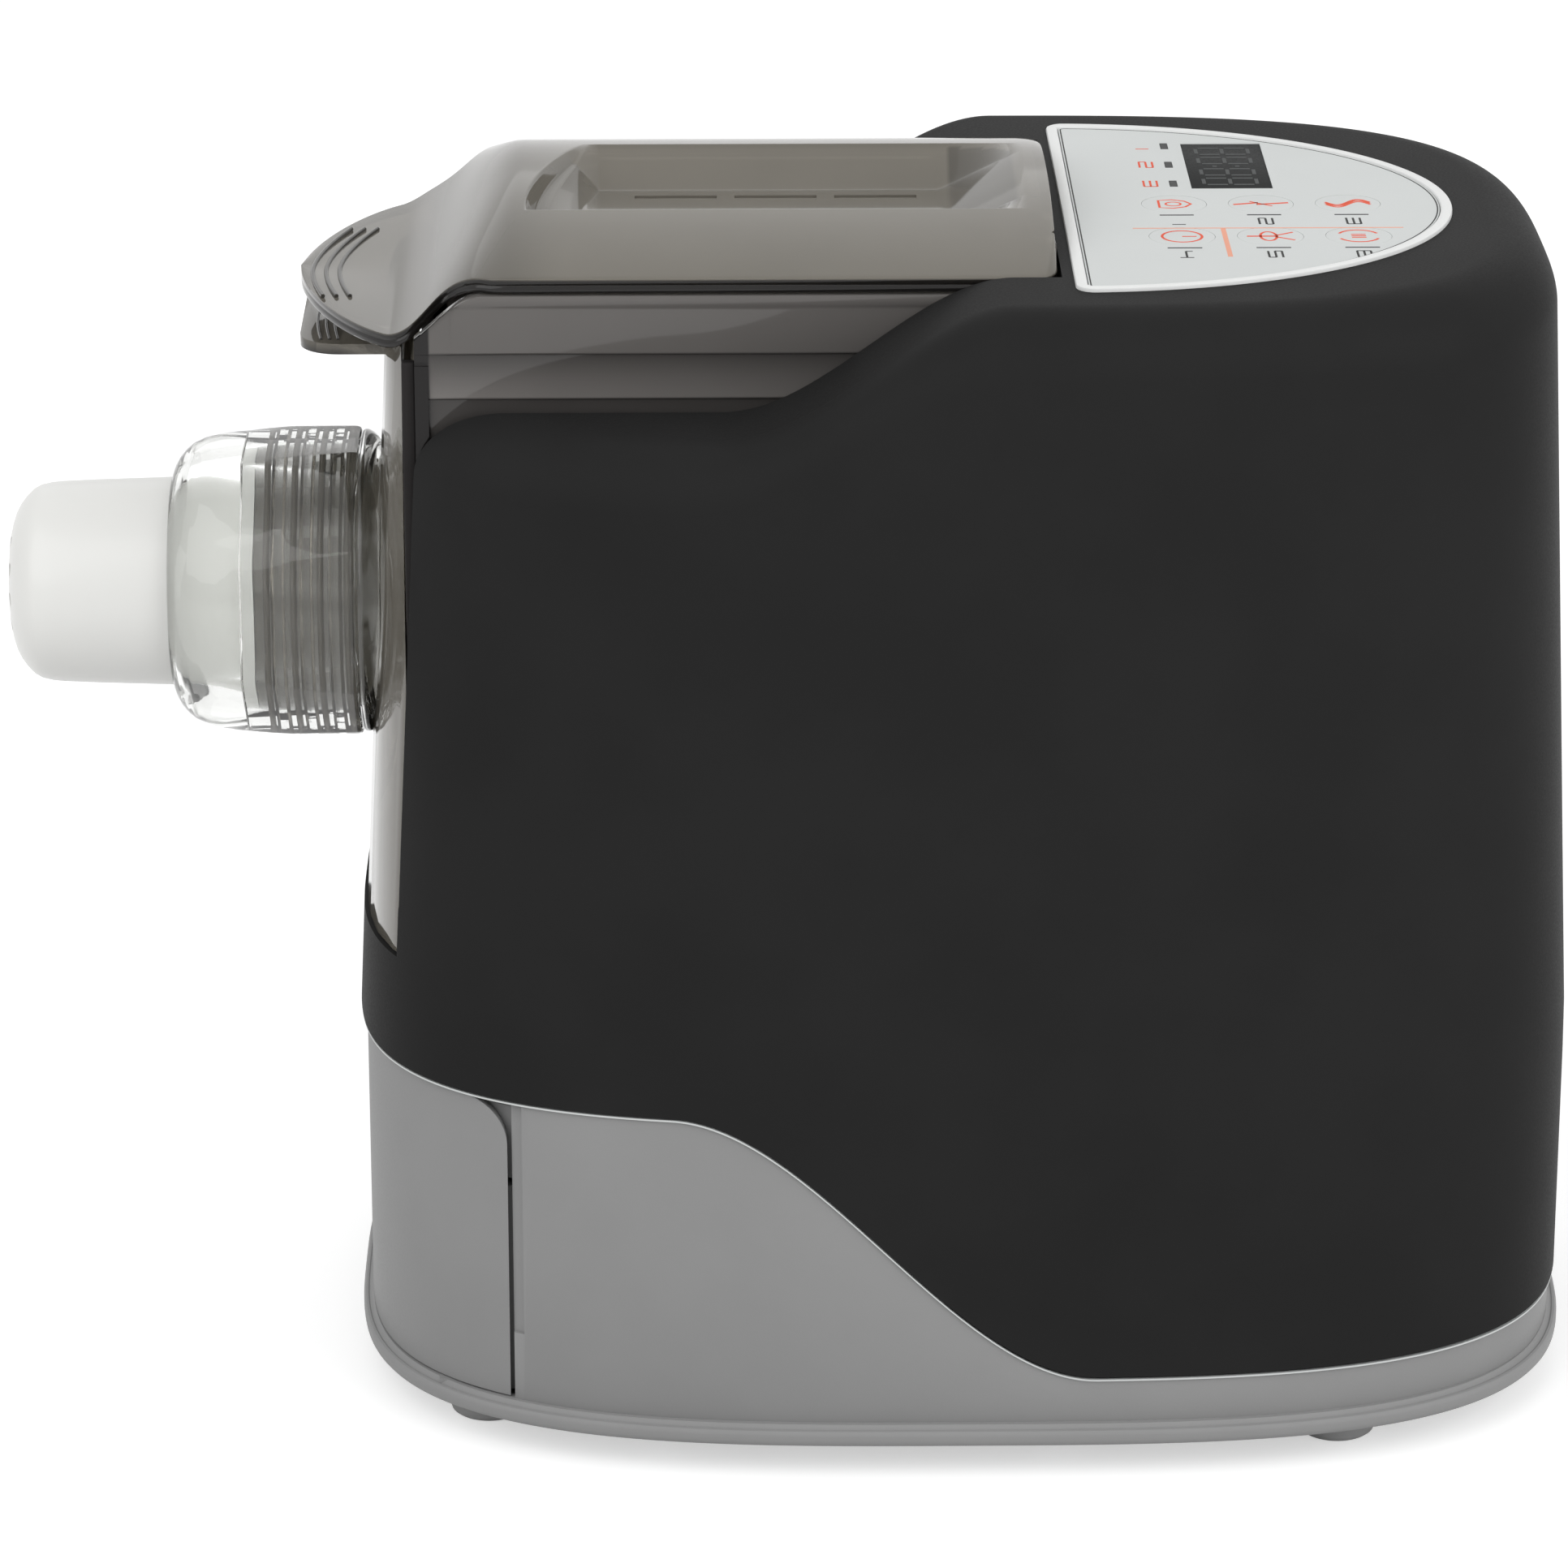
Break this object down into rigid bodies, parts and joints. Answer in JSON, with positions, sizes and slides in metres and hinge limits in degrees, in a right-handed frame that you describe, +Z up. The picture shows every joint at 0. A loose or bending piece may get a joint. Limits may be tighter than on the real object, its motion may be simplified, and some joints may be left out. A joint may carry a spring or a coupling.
{
  "type": "electric pasta maker",
  "caption": "Table-top pasta extruder with a smoky mixing bowl and lid, front outlet with a fluted nut and white die, control panel on the rear deck and a storage drawer in the base.",
  "frame": {"origin": "centre of the bounding box on the table surface under the feet", "axes": "+X towards the back of the machine, away from the outlet; +Z up; -Y is the side seen in the picture"},
  "size_m": [0.357, 0.199, 0.276],
  "materials": {
    "shell": "satin",
    "base": "satin",
    "rubber_feet": "matte",
    "smoky": "polished",
    "clear": "polished",
    "seal": "matte",
    "white": "gloss",
    "panel": "satin",
    "dark_window": "gloss",
    "lamp": "gloss",
    "key": "satin",
    "board": "satin",
    "black": "matte",
    "steel": "brushed",
    "core_steel": "matte",
    "copper": "satin",
    "bronze": "satin",
    "gear_plastic": "satin",
    "alloy": "satin"
  },
  "bodies": {
    "machine": {"feet": "rubber_feet", "base_tray": "base", "base_housing": "base", "base_screws": "steel", "body_shell": "shell", "cord_gland": "black", "panel_frame": "white", "panel_overlay": "panel", "display_window": "dark_window", "indicator_lenses": "lamp", "control_board": "board", "tact_switches": "black", "display_module": "black", "board_screws": "steel", "shaft_seal": "seal", "output_bearing": "bronze", "gear_case": "alloy", "gear_cover": "alloy", "case_screws": "steel", "middle_axle": "steel", "motor_case": "core_steel", "motor_cap": "core_steel", "stator_core": "core_steel", "stator_coils": "copper", "motor_bearings": "steel", "motor_cradle": "black", "power_board": "board", "board_parts": "black", "lid_sensor": "black"},
    "bowl": {"mixing_bowl": "smoky", "bowl_seal": "seal", "hinge_pins": "steel"},
    "lid": {"bowl_lid": "smoky", "lid_magnet": "steel"},
    "plate": {"front_plate": "smoky", "barrel_ring": "clear"},
    "die": {"pasta_die": "white"},
    "nut": {"die_nut": "clear"},
    "screw": {"extrusion_screw": "white", "mixing_paddle": "white"},
    "output": {"output_gear": "gear_plastic", "output_shaft": "steel"},
    "middle": {"middle_gear": "gear_plastic"},
    "rotor": {"rotor_core": "core_steel", "motor_shaft": "steel", "motor_pinion": "steel", "cooling_fan": "black"},
    "drawer": {"storage_drawer": "base"},
    "key_filled": {"key_filled": "key"},
    "key_quick": {"key_quick": "key"},
    "key_pasta": {"key_pasta": "key"},
    "key_power": {"key_power": "key"},
    "key_extrude": {"key_extrude": "key"},
    "key_knead": {"key_knead": "key"}
  },
  "joints": [
    {"name": "bowl_slide", "type": "slide", "parent": "machine", "child": "bowl", "axis": [-1, 0, 0], "range_m": [0, 0.06]},
    {"name": "lid_hinge", "type": "hinge", "parent": "bowl", "child": "lid", "pos_m": [0.05391, 0, 0.2683], "axis": [0, 1, 0], "range_deg": [0, 60]},
    {"name": "plate_slide", "type": "slide", "parent": "bowl", "child": "plate", "axis": [-1, 0, 0], "range_m": [0, 0.05]},
    {"name": "die_travel", "type": "slide", "parent": "plate", "child": "die", "axis": [-1, 0, 0], "range_m": [0, 0.0181]},
    {"name": "nut_turn", "type": "hinge", "parent": "die", "child": "nut", "pos_m": [-0.12129, 0, 0.1794], "axis": [-1, 0, 0], "range_deg": [0, 1080]},
    {"name": "screw_spin", "type": "hinge", "parent": "bowl", "child": "screw", "pos_m": [-0.02129, 0, 0.1794], "axis": [1, 0, 0], "continuous": true},
    {"name": "output_spin", "type": "hinge", "parent": "machine", "child": "output", "pos_m": [0.07671, 0, 0.1794], "axis": [1, 0, 0], "continuous": true},
    {"name": "middle_spin", "type": "hinge", "parent": "machine", "child": "middle", "pos_m": [0.08871, 0.01352, 0.1248], "axis": [1, 0, 0], "continuous": true},
    {"name": "motor_spin", "type": "hinge", "parent": "machine", "child": "rotor", "pos_m": [0.08871, 0, 0.08504], "axis": [1, 0, 0], "continuous": true},
    {"name": "drawer_slide", "type": "slide", "parent": "machine", "child": "drawer", "axis": [-1, 0, 0], "range_m": [0, 0.09]},
    {"name": "filled_press", "type": "slide", "parent": "machine", "child": "key_filled", "axis": [0, 0, -1], "range_m": [0, 0.0005], "stiffness_N_per_m": 800},
    {"name": "quick_press", "type": "slide", "parent": "machine", "child": "key_quick", "axis": [0, 0, -1], "range_m": [0, 0.0005], "stiffness_N_per_m": 800},
    {"name": "pasta_press", "type": "slide", "parent": "machine", "child": "key_pasta", "axis": [0, 0, -1], "range_m": [0, 0.0005], "stiffness_N_per_m": 800},
    {"name": "power_press", "type": "slide", "parent": "machine", "child": "key_power", "axis": [0, 0, -1], "range_m": [0, 0.0005], "stiffness_N_per_m": 800},
    {"name": "extrude_press", "type": "slide", "parent": "machine", "child": "key_extrude", "axis": [0, 0, -1], "range_m": [0, 0.0005], "stiffness_N_per_m": 800},
    {"name": "knead_press", "type": "slide", "parent": "machine", "child": "key_knead", "axis": [0, 0, -1], "range_m": [0, 0.0005], "stiffness_N_per_m": 800}
  ],
  "couplings": [
    {"joint": "die_travel", "follows": "nut_turn", "m_per_rad": 0.000955},
    {"joint": "screw_spin", "follows": "motor_spin", "ratio": 0.04},
    {"joint": "output_spin", "follows": "motor_spin", "ratio": 0.04},
    {"joint": "middle_spin", "follows": "motor_spin", "ratio": -0.2}
  ]
}
